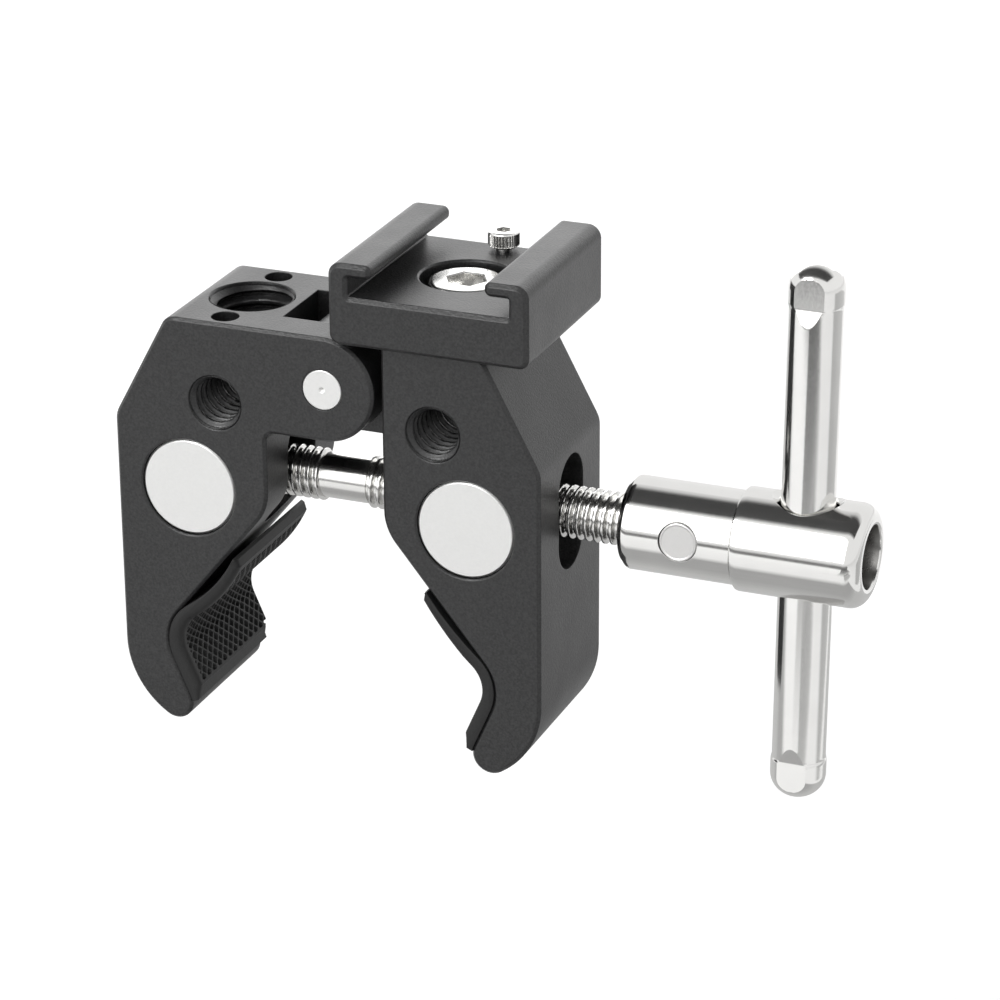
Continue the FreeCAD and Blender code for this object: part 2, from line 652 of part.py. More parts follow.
def bar_flat(start, half, flat_half, side, face):
    """The cut of one flat: level towards the bar's end and run out in a slope."""
    reach = BAR_RADIUS + MARGIN
    corners = [
        Vector(0.0, face * flat_half, side * (half + MARGIN)),
        Vector(0.0, face * flat_half, side * start),
        Vector(0.0, face * BAR_RADIUS, side * (start - BAR_FLAT_RUNOUT)),
        Vector(0.0, face * reach, side * (start - BAR_FLAT_RUNOUT)),
        Vector(0.0, face * reach, side * (half + MARGIN)),
    ]
    wedge = Part.Face(Part.makePolygon(corners + corners[:1])).extrude(ALONG_X * (2.0 * reach))
    wedge.translate(ALONG_X * -reach)
    return wedge


def cold_shoe():
    """The shoe: a block with two lipped rails, and a pocket for its screw."""
    inner = SHOE_SLOT_WIDTH / 2.0
    outer = inner + SHOE_WALL
    lip = inner - SHOE_LIP_OVERHANG
    lip_foot = SHOE_FLOOR + SHOE_SLOT_HEIGHT
    top = lip_foot + SHOE_LIP_THICKNESS
    half = [
        (outer, 0.0, SHOE_FOOT_ROUND),
        (outer, top, SHOE_TOP_ROUND),
        (lip, top, SHOE_LIP_ROUND),
        (lip, lip_foot, SHOE_LIP_ROUND),
        (inner, lip_foot, SHOE_INNER_ROUND),
        (inner, SHOE_FLOOR, SHOE_INNER_ROUND),
    ]
    corners = [(flat(a, b), rounding) for a, b, rounding in half]
    corners += [(flat(-a, b), rounding) for a, b, rounding in half[::-1]]
    shoe = plate(closed_face(corners), SHOE_DEPTH)
    shoe = shoe.makeChamfer(SHOE_EDGE, face_edges(shoe, SHOE_DEPTH / 2.0))
    shoe.translate(Vector(SHOE_REACH, 0.0, RIGHT_TOP))
    place = Vector(SHOE_REACH, 0.0, SHOE_FLOOR_TOP)
    pocket_depth = SHOE_SCREW_SINK + SHOE_SCREW_HEAD_HEIGHT
    pocket_radius = SHOE_SCREW_HEAD_RADIUS + POCKET_CLEARANCE
    shoe = shoe.cut(hole(place, ALONG_Z, pocket_radius, pocket_depth, POCKET_EDGE))
    shoe = shoe.cut(hole(place, ALONG_Z, SHOE_SCREW_RADIUS, SHOE_FLOOR + MARGIN, 0.0))
    back = Vector(STOP_SCREW_REACH, STOP_SCREW_BACK, SHOE_FLOOR_TOP)
    depth = STOP_SCREW_LENGTH + THREAD_END_GAP
    return shoe.cut(hole(back, ALONG_Z, STOP_SCREW_RADIUS, depth, 0.0))


def cap_screw(corners, place, hex_size, hex_depth):
    """A socket-headed screw standing on Z, with its turned outline from the tip up."""
    screw = turned(corners, place, ALONG_Z)
    top = place + ALONG_Z * corners[-1][0]
    return screw.cut(hexagon(hex_size, hex_depth, top))


def shoe_screw():
    """The low-headed screw that holds the shoe on the right jaw."""
    corners = [
        (-SHOE_SCREW_LENGTH, SHOE_SCREW_RADIUS, 0.0),
        (0.0, SHOE_SCREW_RADIUS, 0.0),
        (0.0, SHOE_SCREW_HEAD_RADIUS, 0.0),
        (SHOE_SCREW_HEAD_HEIGHT - SHOE_SCREW_HEAD_EDGE, SHOE_SCREW_HEAD_RADIUS, 0.0),
        (SHOE_SCREW_HEAD_HEIGHT, SHOE_SCREW_HEAD_RADIUS - SHOE_SCREW_HEAD_EDGE, 0.0),
    ]
    place = Vector(SHOE_REACH, 0.0, SHOE_SCREW_HEAD_FOOT)
    return cap_screw(corners, place, SHOE_SCREW_HEX, SHOE_SCREW_HEX_DEPTH)


def shoe_stop_screw():
    """The small screw whose head stops what slides through the shoe."""
    foot = STOP_SCREW_STAND
    top = foot + STOP_SCREW_HEAD_HEIGHT
    corners = [
        (-STOP_SCREW_LENGTH, STOP_SCREW_RADIUS, 0.0),
        (foot, STOP_SCREW_RADIUS, 0.0),
        (foot, STOP_SCREW_HEAD_RADIUS, 0.0),
        (top, STOP_SCREW_HEAD_RADIUS, 0.0),
    ]
    place = Vector(STOP_SCREW_REACH, STOP_SCREW_BACK, SHOE_FLOOR_TOP)
    return cap_screw(corners, place, STOP_SCREW_HEX, STOP_SCREW_HEX_DEPTH)


def left_pad():
    """The left jaw's pad, which stands further off its upper leg."""
    return mirrored(pad(LEFT_PAD_LIFT_TURN, LEFT_PAD_RUN, LEFT_PAD_BOW_RADIUS, LEFT_PAD_BOW_TURN))


def right_pad():
    """The right jaw's pad."""
    return pad(RIGHT_PAD_LIFT_TURN, RIGHT_PAD_RUN, RIGHT_PAD_BOW_RADIUS, RIGHT_PAD_BOW_TURN)


PIECES = {
    "left_jaw": left_jaw,
    "right_jaw": right_jaw,
    "hinge_pin": hinge_pin,
    "left_pad": left_pad,
    "right_pad": right_pad,
    "left_barrel_nut": lambda: barrel_nut(-1.0),
    "right_barrel_nut": lambda: barrel_nut(1.0),
    "clamp_screw": clamp_screw,
    "screw_stop_ring": screw_stop_ring,
    "handle_hub": handle_hub,
    "hub_cross_pin": lambda: cross_pin(0.0, 0.0),
    "t_bar": t_bar,
    "cold_shoe": cold_shoe,
    "shoe_screw": shoe_screw,
    "shoe_stop_screw": shoe_stop_screw,
}

os.makedirs("parts", exist_ok=True)
for name, build in PIECES.items():
    piece = build()
    piece.translate(ALONG_Z * SCREW_HEIGHT)
    solids = piece.Solids
    if len(solids) == 1:
        piece = solids[0]
    box = piece.BoundBox
    print(name, "solids", len(solids), "valid", piece.isValid(), "volume", round(piece.Volume, 2),
          "box", [round(value, 2) for value in (box.XMin, box.XMax, box.YMin, box.YMax, box.ZMin, box.ZMax)])
    piece.exportStep("parts/" + name + ".step")
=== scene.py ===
import cmath
import math

import bmesh
import bpy
import numpy as np
from mathutils import Matrix, Vector


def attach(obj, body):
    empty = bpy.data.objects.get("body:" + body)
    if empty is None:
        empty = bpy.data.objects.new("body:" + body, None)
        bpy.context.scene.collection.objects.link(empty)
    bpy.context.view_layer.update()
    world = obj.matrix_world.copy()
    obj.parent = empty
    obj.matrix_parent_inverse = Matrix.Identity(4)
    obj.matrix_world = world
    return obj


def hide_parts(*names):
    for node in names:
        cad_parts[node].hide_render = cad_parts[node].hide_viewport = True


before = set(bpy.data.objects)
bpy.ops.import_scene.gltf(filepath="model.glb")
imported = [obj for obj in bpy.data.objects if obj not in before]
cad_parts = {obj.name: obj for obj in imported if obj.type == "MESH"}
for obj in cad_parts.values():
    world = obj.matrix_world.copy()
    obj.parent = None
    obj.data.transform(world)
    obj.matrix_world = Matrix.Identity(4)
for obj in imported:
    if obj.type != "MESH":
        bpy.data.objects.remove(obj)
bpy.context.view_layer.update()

MM = 0.001
SCREW_HEIGHT = 19.0
HINGE_HEIGHT = 33.2
JAW_HALF = 9.4
NUT_REACH = 16.9
PIN_REACH = 40.2
ALONG_X = Vector((1.0, 0.0, 0.0))
FRONT = Vector((0.0, -1.0, 0.0))
UP = Vector((0.0, 0.0, 1.0))


# Helpers for materials

EVEN = (1.0, 1.0, 1.0)
NOISE_LOW, NOISE_HIGH = 0.3, 0.7


def new_material(name, colour, metallic, roughness, ior=1.5):
    """A material and its one Principled shader."""
    made = bpy.data.materials.new(name)
    made.use_nodes = True
    shader = made.node_tree.nodes["Principled BSDF"]
    shader.inputs["Base Color"].default_value = (*colour, 1.0)
    shader.inputs["Metallic"].default_value = metallic
    shader.inputs["Roughness"].default_value = roughness
    shader.inputs["IOR"].default_value = ior
    return made, shader


def node(material, kind, **inputs):
    """One more node, with its named inputs set."""
    made = material.node_tree.nodes.new(kind)
    for name, value in inputs.items():
        made.inputs[name.replace("_", " ")].default_value = value
    return made


def join(material, out, into):
    material.node_tree.links.new(out, into)


def stretched(material, scale):
    """Object coordinates multiplied by a scale for each axis."""
    coords = node(material, "ShaderNodeTexCoord")
    mapping = node(material, "ShaderNodeMapping", Scale=scale)
    join(material, coords.outputs["Object"], mapping.inputs["Vector"])
    return mapping.outputs["Vector"]


def noise(material, vector, scale, detail=2.0, rough=0.5):
    made = node(material, "ShaderNodeTexNoise", Scale=scale, Detail=detail, Roughness=rough)
    join(material, vector, made.inputs["Vector"])
    return made.outputs["Fac"]


def spread(material, value, low, high):
    """A noise value spread over another range."""
    made = node(material, "ShaderNodeMapRange")
    made.inputs["From Min"].default_value = NOISE_LOW
    made.inputs["From Max"].default_value = NOISE_HIGH
    made.inputs["To Min"].default_value = low
    made.inputs["To Max"].default_value = high
    join(material, value, made.inputs["Value"])
    return made.outputs["Result"]


def tint(material, value, dark, light):
    """A noise value spread between two colours."""
    made = node(material, "ShaderNodeValToRGB")
    made.color_ramp.elements[0].position = NOISE_LOW
    made.color_ramp.elements[0].color = (*dark, 1.0)
    made.color_ramp.elements[1].position = NOISE_HIGH
    made.color_ramp.elements[1].color = (*light, 1.0)
    join(material, value, made.inputs["Fac"])
    return made.outputs["Color"]


def bump(material, shader, value, strength, distance, edge):
    """Fine relief, over edges that are softened to a small round where edge is above 0."""
    made = node(material, "ShaderNodeBump", Strength=strength, Distance=distance)
    join(material, value, made.inputs["Height"])
    if edge > 0.0:
        soft = node(material, "ShaderNodeBevel", Radius=edge)
        soft.samples = 6
        join(material, soft.outputs["Normal"], made.inputs["Normal"])
    join(material, made.outputs["Normal"], shader.inputs["Normal"])


def anodised():
    """Bead blasted aluminium, anodised black."""
    made, shader = new_material("black_anodised", (0.012, 0.012, 0.0125), 0.0, 0.4, 1.54)
    place = stretched(made, EVEN)
    grain = noise(made, place, 4200.0, 2.0)
    cloud = noise(made, place, 160.0, 3.0)
    join(made, tint(made, grain, (0.004, 0.004, 0.0043), (0.024, 0.024, 0.0246)),
         shader.inputs["Base Color"])
    join(made, spread(made, cloud, 0.37, 0.43), shader.inputs["Roughness"])
    bump(made, shader, grain, strength=0.7, distance=0.00005, edge=0.00018)
    return made


def rubber():
    """Matte black rubber."""
    made, shader = new_material("pad_rubber", (0.011, 0.011, 0.011), 0.0, 0.55, 1.45)
    place = stretched(made, EVEN)
    grain = noise(made, place, 5000.0, 3.0)
    join(made, tint(made, grain, (0.007, 0.007, 0.007), (0.016, 0.016, 0.016)),
         shader.inputs["Base Color"])
    join(made, spread(made, grain, 0.5, 0.62), shader.inputs["Roughness"])
    bump(made, shader, grain, strength=0.4, distance=0.00003, edge=0.0)
    return made


def steel(name, scale, colour, roughness, relief, edge):
    """Polished steel with fine marks that run across the axis of the largest scale."""
    made, shader = new_material(name, colour, 1.0, roughness)
    marks = noise(made, stretched(made, scale), 1.0, 3.0, 0.6)
    cloud = noise(made, stretched(made, EVEN), 220.0, 2.0)
    low = tuple(c * 0.96 for c in colour)
    join(made, tint(made, cloud, low, colour), shader.inputs["Base Color"])
    join(made, spread(made, marks, roughness * 0.8, roughness * 1.25), shader.inputs["Roughness"])
    bump(made, shader, marks, strength=relief, distance=0.000004, edge=edge)
    return made


def turned_ends(name, reach, height, colour, roughness):
    """Steel whose flat ends carry rings around an axis along Y, the same on both sides of X = 0."""
    made, shader = new_material(name, colour, 1.0, roughness)
    coords = node(made, "ShaderNodeTexCoord")
    apart = node(made, "ShaderNodeSeparateXYZ")
    join(made, coords.outputs["Object"], apart.inputs["Vector"])
    side = node(made, "ShaderNodeMath")
    side.operation = "ABSOLUTE"
    join(made, apart.outputs["X"], side.inputs[0])
    again = node(made, "ShaderNodeCombineXYZ")
    join(made, side.outputs["Value"], again.inputs["X"])
    join(made, apart.outputs["Z"], again.inputs["Z"])
    distance = node(made, "ShaderNodeVectorMath")
    distance.operation = "DISTANCE"
    distance.inputs[1].default_value = (reach * MM, 0.0, height * MM)
    join(made, again.outputs["Vector"], distance.inputs[0])
    rings = node(made, "ShaderNodeTexNoise", Scale=9000.0, Detail=3.0)
    rings.noise_dimensions = "1D"
    join(made, distance.outputs["Value"], rings.inputs["W"])
    grain = noise(made, coords.outputs["Object"], 3000.0, 3.0)
    low = tuple(c * 0.97 for c in colour)
    join(made, tint(made, grain, low, colour), shader.inputs["Base Color"])
    join(made, spread(made, rings.outputs["Fac"], roughness * 0.85, roughness * 1.15),
         shader.inputs["Roughness"])
    bump(made, shader, rings.outputs["Fac"], strength=0.25, distance=0.000004, edge=0.00008)
    return made


BLACK = anodised()
RUBBER = rubber()
HUB_STEEL = steel("polished_stainless_hub", (2500.0, 120.0, 120.0), (0.77, 0.765, 0.75),
                  roughness=0.09, relief=0.05, edge=0.0001)
BAR_STEEL = steel("polished_stainless_bar", (5000.0, 5000.0, 2500.0), (0.80, 0.795, 0.78),
                  roughness=0.13, relief=0.12, edge=0.0)
# Painted shade: a much darker steel for the walls and floor of the hub's end bore, where shade falls in the
# recess
BORE_SHADE_STEEL = steel("bore_steel_painted_shade", (600.0, 600.0, 600.0), (0.30, 0.295, 0.285),
                   roughness=0.30, relief=0.1, edge=0.0)
THREAD_STEEL = steel("polished_stainless_thread", (300.0, 300.0, 300.0), (0.72, 0.715, 0.70),
                     roughness=0.16, relief=0.02, edge=0.0)
SMALL_STEEL = steel("polished_stainless_small", (900.0, 900.0, 900.0), (0.78, 0.775, 0.76),
                    roughness=0.20, relief=0.06, edge=0.0)
NUT_STEEL = turned_ends("satin_steel", NUT_REACH, SCREW_HEIGHT, (0.76, 0.76, 0.75), 0.42)
PIN_STEEL = turned_ends("polished_stainless_pin", 0.0, HINGE_HEIGHT, (0.77, 0.77, 0.76), 0.42)
CROSS_STEEL = turned_ends("satin_steel_cross", PIN_REACH, SCREW_HEIGHT, (0.68, 0.675, 0.665), 0.36)

FINISHES = {
    "left_jaw": BLACK,
    "right_jaw": BLACK,
    "cold_shoe": BLACK,
    "left_pad": RUBBER,
    "right_pad": RUBBER,
    "left_barrel_nut": NUT_STEEL,
    "right_barrel_nut": NUT_STEEL,
    "hinge_pin": PIN_STEEL,
    "hub_cross_pin": CROSS_STEEL,
    "clamp_screw": THREAD_STEEL,
    "screw_stop_ring": SMALL_STEEL,
    "handle_hub": HUB_STEEL,
    "t_bar": BAR_STEEL,
    "shoe_screw": SMALL_STEEL,
    "shoe_stop_screw": SMALL_STEEL,
}
for name, finish in FINISHES.items():
    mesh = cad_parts[name].data
    mesh.materials.clear()
    mesh.materials.append(finish)


# Helpers for shapes. All sizes are in millimetres.

def ring_mesh(name, rings, ends=True):
    """A closed mesh of rings of points. Its two end rings are filled, or joined to each other."""
    rings = np.asarray(rings, dtype=float)
    count, around, _ = rings.shape
    index = np.arange(count * around).reshape(count, around)
    near, far = (index[:-1], index[1:]) if ends else (index, np.roll(index, -1, 0))
    sides = np.stack([near, np.roll(near, -1, 1), np.roll(far, -1, 1), far], axis=-1)
    faces = sides.reshape(-1, 4).tolist()
    if ends:
        faces += [index[0][::-1].tolist(), index[-1].tolist()]
    mesh = bpy.data.meshes.new(name)
    mesh.from_pydata(rings.reshape(-1, 3).tolist(), [], faces)
    work = bmesh.new()
    work.from_mesh(mesh)
    bmesh.ops.recalc_face_normals(work, faces=work.faces)
    work.to_mesh(mesh)
    work.free()
    return mesh


def placed(name, mesh, finish, body, node_name, sharp):
    """A mesh in millimetres made into a piece that rides on a body."""
    mesh.transform(Matrix.Scale(MM, 4))
    mesh.shade_smooth()
    mesh.set_sharp_from_angle(angle=math.radians(sharp))
    mesh.materials.clear()
    mesh.materials.append(finish)
    made = bpy.data.objects.new(name, mesh)
    bpy.context.scene.collection.objects.link(made)
    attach(made, body)
    if node_name:
        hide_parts(node_name)
    return made


def piece(name, rings, finish, body, node_name, sharp=32.0):
    """A closed piece made of rings of points."""
    return placed(name, ring_mesh(name, rings), finish, body, node_name, sharp)


def lathe_rings(base, axis, first, rows, count):
    """Rings turned round an axis. Each row is a distance along the axis and a radius."""
    turn = np.linspace(0.0, 2.0 * math.pi, count, endpoint=False)
    second = axis.cross(first)
    around = np.outer(np.cos(turn), np.array(first)) + np.outer(np.sin(turn), np.array(second))
    return [np.array(base + axis * float(along)) + around * radius for along, radius in rows]


def carved(mesh, cutters):
    """A mesh with other meshes cut out of it."""
    base = bpy.data.objects.new("uncut", mesh)
    bpy.context.scene.collection.objects.link(base)
    tools = []
    for cutter in cutters:
        tool = bpy.data.objects.new("cutter", cutter)
        bpy.context.scene.collection.objects.link(tool)
        cut = base.modifiers.new("cut", "BOOLEAN")
        cut.operation = "DIFFERENCE"
        cut.solver = "EXACT"
        cut.object = tool
        tools.append(tool)
    graph = bpy.context.evaluated_depsgraph_get()
    result = bpy.data.meshes.new_from_object(base.evaluated_get(graph))
    for used in [base] + tools:
        bpy.data.objects.remove(used)
    return result


def smooth_step(value):
    value = np.clip(value, 0.0, 1.0)
    return value * value * (3.0 - 2.0 * value)


def groove_share(phase, crest, flank):
    """How deep a thread is at a phase: 0 on its crest and 1 in its root."""
    away = np.abs(phase - np.round(phase))
    return smooth_step((away - crest) / flank)


# The screw: a right-hand thread, a plain neck, a left-hand thread and a plain end in the hub

SCREW_RADIUS = 3.0
SCREW_AROUND = 44
SCREW_TIP = -26.9
SCREW_TIP_BEVEL = 0.6
SCREW_END = 45.0
HUB_START = 33.0
THREAD_ROOT = 2.42
THREAD_CREST = 0.12
THREAD_FLANK = 0.26
THREAD_STEP = 1.0 / 16.0
THREAD_INTO_HUB = 0.5
PLAIN_END_GAP = 0.02
NECK = (-3.9, 1.9)
NECK_MIDDLE = -1.0
NECK_RADIUS = 2.6
NECK_SHOULDER = 0.02
LEFT_PHASE = -7.6
RIGHT_PHASE = 25.04
RING_GROOVE = (-25.7, -24.9)
RING_GROOVE_RADIUS = 2.4


def thread_radius(phase):
    """The screw's radius at a phase of its thread."""
    return SCREW_RADIUS - (SCREW_RADIUS - THREAD_ROOT) * groove_share(phase, THREAD_CREST, THREAD_FLANK)


def screw_rings():
    turn = np.linspace(0.0, 2.0 * math.pi, SCREW_AROUND, endpoint=False)
    left = np.arange(SCREW_TIP, NECK[0], THREAD_STEP)
    right = np.arange(NECK[1], HUB_START + 1.0, THREAD_STEP)
    neck = [NECK[0], NECK[0] + NECK_SHOULDER, NECK_MIDDLE, NECK[1] - NECK_SHOULDER]
    rings = []
    for x in np.concatenate([left, neck, right, [SCREW_END]]):
        if x <= NECK[0]:
            radius = thread_radius(x - LEFT_PHASE - turn / (2.0 * math.pi))
            radius = np.minimum(radius, SCREW_RADIUS - SCREW_TIP_BEVEL + (x - SCREW_TIP))
        elif x < NECK[1]:
            radius = np.full_like(turn, NECK_RADIUS)
        elif x <= HUB_START + THREAD_INTO_HUB:
            radius = thread_radius(x - RIGHT_PHASE + turn / (2.0 * math.pi))
        else:
            radius = np.full_like(turn, SCREW_RADIUS - PLAIN_END_GAP)
        if RING_GROOVE[0] < x < RING_GROOVE[1]:
            radius = np.full_like(turn, RING_GROOVE_RADIUS)
        across = radius * np.cos(turn)
        up = radius * np.sin(turn) + SCREW_HEIGHT
        rings.append(np.stack([np.full_like(turn, x), across, up], axis=-1))
    return rings


piece("threaded_screw", screw_rings(), THREAD_STEEL, "screw", "clamp_screw")


# Threads inside the side holes and the top hole, each a closed sleeve against its bore

SLEEVE_AROUND = 56
SLEEVE_STEPS_A_TURN = 14.0
SLEEVE_CREST = 0.08
SLEEVE_FLANK = 0.3
SLEEVE_ROOT_GAP = 0.01
SLEEVE_MOUTH_GAP = 0.005
SLEEVE_BACK_GAP = 0.004
SIDE_HOLE_REACH = 13.2
SIDE_HOLE_HEIGHT = 29.8
SIDE_HOLE_INSET = 0.02
TOP_HOLE_REACH = 12.7
TOP_HOLE_HEIGHT = 39.33


def sleeve(name, centre, axis, bore, minor, pitch, depth, mouth, both, body):
    """A threaded sleeve in a bore: its mouth is widened by a cone, at one end or at both."""
    turn = np.linspace(0.0, 2.0 * math.pi, SLEEVE_AROUND, endpoint=False)
    steps = np.arange(0.0, depth + 0.01, pitch / SLEEVE_STEPS_A_TURN)
    root = bore - SLEEVE_ROOT_GAP
    inner = []
    for step in steps:
        phase = step / pitch - turn / (2.0 * math.pi)
        radius = root - (root - minor) * (1.0 - groove_share(phase, SLEEVE_CREST, SLEEVE_FLANK))
        from_end = min(step, depth - step) if both else step
        radius = np.maximum(radius, min(mouth - from_end, bore - SLEEVE_MOUTH_GAP))
        inner.append((step, radius))
    back = np.full_like(turn, bore - SLEEVE_BACK_GAP)
    second = axis.cross(ALONG_X)
    rings = []
    for step, radius in inner + [(steps[-1], back), (0.0, back)]:
        middle = np.array(centre - axis * float(step))
        ring = middle + np.outer(radius * np.cos(turn), np.array(ALONG_X))
        rings.append(ring + np.outer(radius * np.sin(turn), np.array(second)))
    mesh = ring_mesh(name, rings, ends=False)
    placed(name, mesh, BLACK, body, None, 40.0)


for side, body, name in ((-1.0, "left_jaw", "left_side_thread"), (1.0, "right_jaw", "right_side_thread")):
    sleeve(name, Vector((side * SIDE_HOLE_REACH, -JAW_HALF + SIDE_HOLE_INSET, SIDE_HOLE_HEIGHT)), FRONT,
           bore=3.175, minor=2.58, pitch=1.27, depth=2 * JAW_HALF - 2.0 * SIDE_HOLE_INSET,
           mouth=3.32, both=True, body=body)
sleeve("top_thread", Vector((-TOP_HOLE_REACH, 0.0, TOP_HOLE_HEIGHT)), UP,
       bore=4.76, minor=4.0, pitch=1.5875, depth=5.9, mouth=4.98, both=False, body="left_jaw")


# The rubber pads, with crossing ridges on the grip face

PAD_THICKNESS = 1.65
PAD_UPPER_THICKNESS = 1.15
PAD_END_BEVEL = 0.7
PAD_WRAP_ANGLE = 17.6
PAD_FOOT_THICKNESS = 0.8
PAD_FOOT_BEVEL = 0.81
PAD_FRONT_ROUND = 0.85
PAD_CORNER_CUT = 0.8
PAD_CORNER_DEPTH = 0.85
PAD_CORNER_EDGE = 0.12
PAD_SOFT_EDGE = 0.15
PAD_LEAST_THICKNESS = 0.3
PAD_STEP = 0.12
PAD_LAST_STEP = 0.05
PAD_ROUND_ANGLES = np.arange(20.0, 91.0, 14.0)
PAD_BACK_EVERY = 5
PAD_UNDER_SHARES = (0.33, 0.67)
RIDGE_HEIGHT = 0.34
RIDGE_PITCH = 1.39
RIDGE_CREST = 0.1
RIDGE_FLANK = 0.17
RIDGE_BORDER = 1.3
RIDGE_FAR_BORDER = 0.15
RIDGE_FOOT = 0.3
RIDGE_TOP = 0.8
RIDGE_FADE = 0.1
NEAR_NOTHING = 1e-6


def turned(value, degrees):
    return value * cmath.exp(1j * math.radians(degrees))


GRIP_CORNER = 21.08 - 18.54j
LOWER_LEG = turned(-1j, -23.4)
UPPER_LEG = turned(1j, 39.1)
INWARD = LOWER_LEG * 1j
BACK_CENTRE = 15.3 - 20.2j
BACK_RADIUS = 10.5
TIP_RADIUS = 2.2
GRIP_ROUND = 5.5


def pad_walk(lift, run, bow_radius, bow_turn, step=0.1):
    """Stations along a pad's back from the jaw's tip up, as complex numbers in the XZ plane.

    Each station is a place, a heading, the length walked and the pad's thickness there.
    """
    start = GRIP_CORNER + INWARD * TIP_RADIUS
    offset = start - BACK_CENTRE
    along = (offset * LOWER_LEG.conjugate()).real
    reach = -along + math.sqrt(along * along - abs(offset) ** 2 + (BACK_RADIUS - TIP_RADIUS) ** 2)
    centre = start + LOWER_LEG * reach
    place = centre - INWARD * TIP_RADIUS
    heading = -LOWER_LEG
    corner = 180.0 - math.degrees(abs(cmath.phase(UPPER_LEG / LOWER_LEG)))
    tangent = GRIP_ROUND * math.tan(math.radians(corner / 2.0))
    leg = abs(GRIP_CORNER - place) - tangent
    full, thin = PAD_THICKNESS, PAD_UPPER_THICKNESS
    moves = [(PAD_FOOT_BEVEL, 0.0, 0.0, full, full), (leg - PAD_FOOT_BEVEL, 0.0, 0.0, full, full),
             (0.0, corner + lift, GRIP_ROUND, full, full), (run, 0.0, 0.0, full, full),
             (0.0, -bow_turn, bow_radius, full, thin),
             (PAD_END_BEVEL, 0.0, 0.0, thin, thin - PAD_END_BEVEL)]
    walked = [(place, heading, 0.0, full)]
    length = 0.0
    for straight, turn, radius, first, last in moves:
        long = straight if turn == 0.0 else radius * math.radians(abs(turn))
        count = max(2, round(long / step))
        place, heading, _, _ = walked[-1]
        for i in range(1, count + 1):
            share = i / count
            thick = first + (last - first) * share
            there = length + long * share
            if turn == 0.0:
                walked.append((place + heading * straight * share, heading, there, thick))
            else:
                pivot = place + heading * 1j * math.copysign(radius, turn)
                angle = turn * share
                walked.append((pivot + turned(place - pivot, angle), turned(heading, angle), there, thick))
        length += long
    return centre, walked


def ridge_drop(along, across, length):
    """How far the grip face lies below the ridges' crests."""
    first = (across + along) / RIDGE_PITCH
    second = (across - along) / RIDGE_PITCH
    away = min(abs(first - round(first)), abs(second - round(second)))
    drop = RIDGE_HEIGHT * float(smooth_step((away - RIDGE_CREST) / RIDGE_FLANK))
    inside = min(across + JAW_HALF - RIDGE_BORDER, JAW_HALF - RIDGE_FAR_BORDER - across,
                 along - PAD_FOOT_BEVEL - RIDGE_FOOT, length - PAD_END_BEVEL - RIDGE_TOP - along)
    return drop * float(smooth_step(inside / RIDGE_FADE))


def front_drop(along, across):
    """How far the rounded front edge and the cut far corner lie below the grip face."""
    into = PAD_FRONT_ROUND - (across + JAW_HALF)
    drop = 0.0
    if into > 0.0:
        drop = PAD_FRONT_ROUND - math.sqrt(max(0.0, PAD_FRONT_ROUND ** 2 - into ** 2))
    cut = across - (JAW_HALF - PAD_CORNER_CUT) - (along - PAD_FOOT_BEVEL)
    return drop + PAD_CORNER_DEPTH * float(smooth_step(cut / PAD_CORNER_EDGE))


def inset(loop, distance):
    """A closed loop of complex points drawn in by a distance."""
    after, before = np.roll(loop, -1), np.roll(loop, 1)
    ahead = (after - loop) / np.abs(after - loop)
    behind = (loop - before) / np.abs(loop - before)
    normal = 1j * (ahead + behind)
    normal = normal / np.maximum(np.abs(normal), 1e-9)
    area = 0.5 * np.sum(loop.real * after.imag - after.real * loop.imag)
    return loop + normal * math.copysign(distance, area)


def pad_rings(side, lift, run, bow_radius, bow_turn):
    centre, walked = pad_walk(lift, run, bow_radius, bow_turn)
    length = walked[-1][2]
    foot = walked[0][0]
    wrap_end = centre + turned(foot - centre, PAD_WRAP_ANGLE)
    foot_top = wrap_end + walked[0][1] * 1j * PAD_FOOT_THICKNESS
    under = [centre + turned(foot - centre, PAD_WRAP_ANGLE * share) for share in PAD_UNDER_SHARES]
    back = [place for place, _, _, _ in walked[::-PAD_BACK_EVERY]]
    if back[-1] != foot:
        back.append(foot)
    rounding = -JAW_HALF + PAD_FRONT_ROUND * (1.0 - np.cos(np.radians(PAD_ROUND_ANGLES)))
    middle = np.arange(-JAW_HALF + PAD_FRONT_ROUND + PAD_STEP,
                       JAW_HALF - PAD_SOFT_EDGE - PAD_LAST_STEP, PAD_STEP)
    far_edge = [JAW_HALF - PAD_SOFT_EDGE, JAW_HALF - PAD_LAST_STEP, JAW_HALF]
    rings = []
    for y in np.concatenate([[-JAW_HALF], rounding, middle, far_edge]):
        front = []
        for place, heading, along, thick in walked:
            if along >= PAD_FOOT_BEVEL - NEAR_NOTHING:
                thick = thick - ridge_drop(along, y, length) - front_drop(along, y)
                front.append(place + heading * 1j * max(thick, PAD_LEAST_THICKNESS))
        loop = np.array([wrap_end, foot_top] + front + back + under)
        edge = JAW_HALF - abs(y)
        if edge < PAD_SOFT_EDGE - NEAR_NOTHING:
            short = PAD_SOFT_EDGE - edge
            loop = inset(loop, PAD_SOFT_EDGE - math.sqrt(max(0.0, PAD_SOFT_EDGE ** 2 - short ** 2)))
        rings.append(np.stack([side * loop.real, np.full(len(loop), y), loop.imag + SCREW_HEIGHT], axis=-1))
    return rings


piece("left_grip_pad", pad_rings(-1.0, lift=14.0, run=1.6, bow_radius=16.9, bow_turn=24.5),
      RUBBER, "left_jaw", "left_pad")
piece("right_grip_pad", pad_rings(1.0, lift=7.6, run=1.4, bow_radius=37.7, bow_turn=11.4),
      RUBBER, "right_jaw", "right_pad")


# The two screws of the shoe, with hexagon sockets

